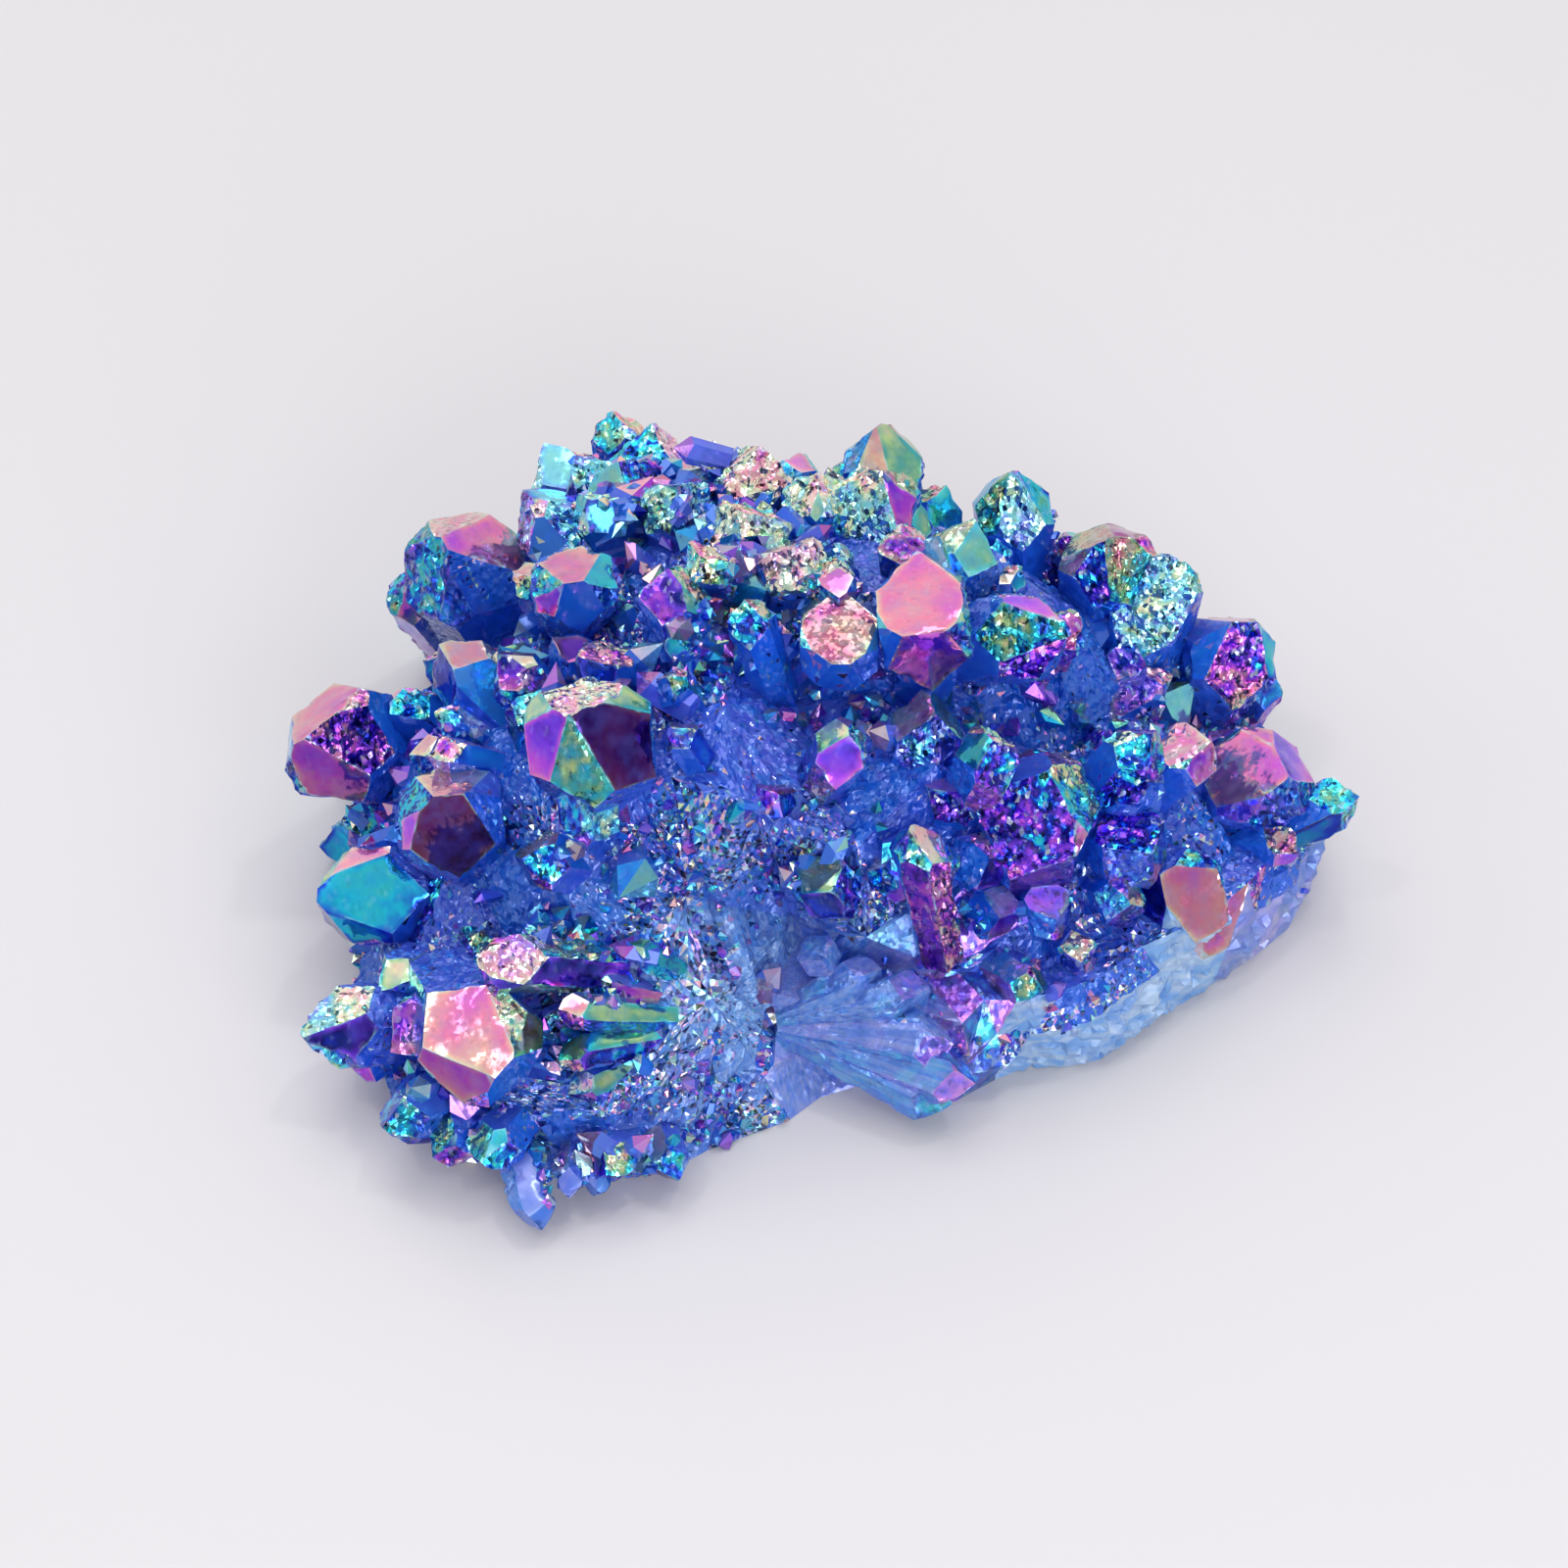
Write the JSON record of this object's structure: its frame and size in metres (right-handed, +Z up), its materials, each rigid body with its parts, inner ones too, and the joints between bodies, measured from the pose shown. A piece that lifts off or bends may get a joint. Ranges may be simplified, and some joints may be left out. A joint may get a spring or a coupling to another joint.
{
  "type": "aqua aura quartz cluster",
  "caption": "Mineral specimen: sprays of hexagonal quartz points grown together on a crust that is flat underneath, so it rests on a shelf or table.",
  "frame": {"origin": "middle of the bounding box at the flat base", "axes": "+Z up from the base, +X to the right along the longest side, -Y towards the front"},
  "size_m": [0.0776, 0.0642, 0.031],
  "materials": {
    "coated_quartz": "blue quartz under a thin metal film that shines in rainbow colours"
  },
  "bodies": {
    "root": {"quartz_cluster": "coated_quartz"}
  },
  "joints": []
}
